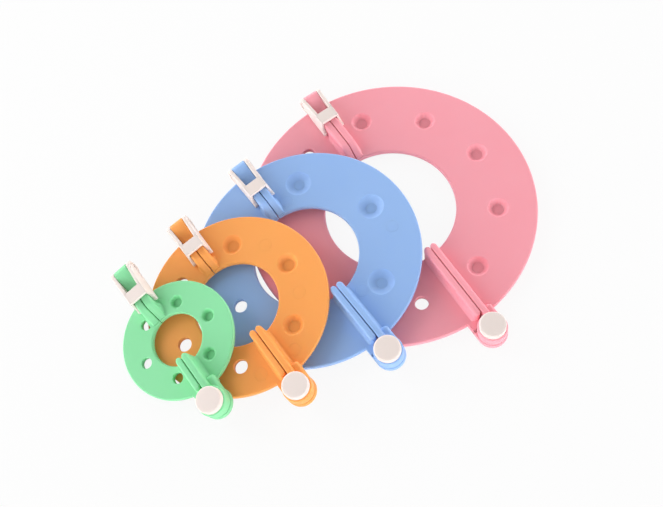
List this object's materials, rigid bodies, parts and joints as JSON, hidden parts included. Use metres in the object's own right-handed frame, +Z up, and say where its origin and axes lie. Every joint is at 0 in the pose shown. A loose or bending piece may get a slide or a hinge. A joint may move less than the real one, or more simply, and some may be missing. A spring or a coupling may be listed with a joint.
{
  "type": "pom pom maker set",
  "caption": "Hinged plastic ring frames in graded sizes for winding yarn into pom poms, each of two half-ring arms shut by a flip clasp.",
  "frame": {"origin": "on the table, under the middle of the fanned set's box", "axes": "+Z up from the table, +X from the smallest frame to the largest, +Y away from the hinges"},
  "size_m": [0.1706, 0.1328, 0.0178],
  "materials": {
    "pink_plastic": "satin moulded",
    "blue_plastic": "satin moulded",
    "orange_plastic": "satin moulded",
    "green_plastic": "satin moulded",
    "cream_plastic": "satin moulded"
  },
  "bodies": {
    "pink_base": {"pink_dimple_arm": "pink_plastic", "pink_hinge_pin": "cream_plastic", "pink_hinge_cap": "cream_plastic"},
    "pink_arm": {"pink_holed_arm": "pink_plastic"},
    "pink_catch": {"pink_clasp": "cream_plastic"},
    "blue_base": {"blue_dimple_arm": "blue_plastic", "blue_hinge_pin": "cream_plastic", "blue_hinge_cap": "cream_plastic"},
    "blue_arm": {"blue_holed_arm": "blue_plastic"},
    "blue_catch": {"blue_clasp": "cream_plastic"},
    "orange_base": {"orange_dimple_arm": "orange_plastic", "orange_hinge_pin": "cream_plastic", "orange_hinge_cap": "cream_plastic"},
    "orange_arm": {"orange_holed_arm": "orange_plastic"},
    "orange_catch": {"orange_clasp": "cream_plastic"},
    "green_base": {"green_dimple_arm": "green_plastic", "green_hinge_pin": "cream_plastic", "green_hinge_cap": "cream_plastic"},
    "green_arm": {"green_holed_arm": "green_plastic"},
    "green_catch": {"green_clasp": "cream_plastic"}
  },
  "joints": [
    {"name": "pink_swing", "type": "hinge", "parent": "pink_base", "child": "pink_arm", "pos_m": [0.0521, -0.05382, 0.00377], "axis": [-0.0218, -0.0082, 0.9997], "range_deg": [0, 150]},
    {"name": "pink_flip", "type": "hinge", "parent": "pink_base", "child": "pink_catch", "pos_m": [0.0083, 0.06187, 0.00727], "axis": [-0.9352, -0.3534, -0.0233], "range_deg": [0, 115]},
    {"name": "blue_lift", "type": "slide", "parent": "pink_arm", "child": "blue_base", "axis": [0, 0, 1], "range_m": [0, 0.05]},
    {"name": "blue_swing", "type": "hinge", "parent": "blue_base", "child": "blue_arm", "pos_m": [0.01326, -0.0545, 0.00784], "axis": [-0.0978, -0.0262, 0.9949], "range_deg": [0, 150]},
    {"name": "blue_flip", "type": "hinge", "parent": "blue_base", "child": "blue_catch", "pos_m": [-0.02655, 0.0351, 0.0098], "axis": [-0.9101, -0.4022, -0.1001], "range_deg": [0, 115]},
    {"name": "orange_lift", "type": "slide", "parent": "blue_arm", "child": "orange_base", "axis": [0, 0, 1], "range_m": [0, 0.05]},
    {"name": "orange_swing", "type": "hinge", "parent": "orange_base", "child": "orange_arm", "pos_m": [-0.02139, -0.0604, 0.00938], "axis": [-0.1493, -0.0263, 0.9884], "range_deg": [0, 150]},
    {"name": "orange_flip", "type": "hinge", "parent": "orange_base", "child": "orange_catch", "pos_m": [-0.05484, 0.0158, 0.0099], "axis": [-0.906, -0.3968, -0.1474], "range_deg": [0, 115]},
    {"name": "green_lift", "type": "slide", "parent": "orange_arm", "child": "green_base", "axis": [0, 0, 1], "range_m": [0, 0.05]},
    {"name": "green_swing", "type": "hinge", "parent": "green_base", "child": "green_arm", "pos_m": [-0.05229, -0.05735, 0.00805], "axis": [-0.2308, -0.084, 0.9694], "range_deg": [0, 150]},
    {"name": "green_flip", "type": "hinge", "parent": "green_base", "child": "green_catch", "pos_m": [-0.07892, 0.00123, 0.01039], "axis": [-0.8862, -0.3931, -0.2451], "range_deg": [0, 115]}
  ]
}
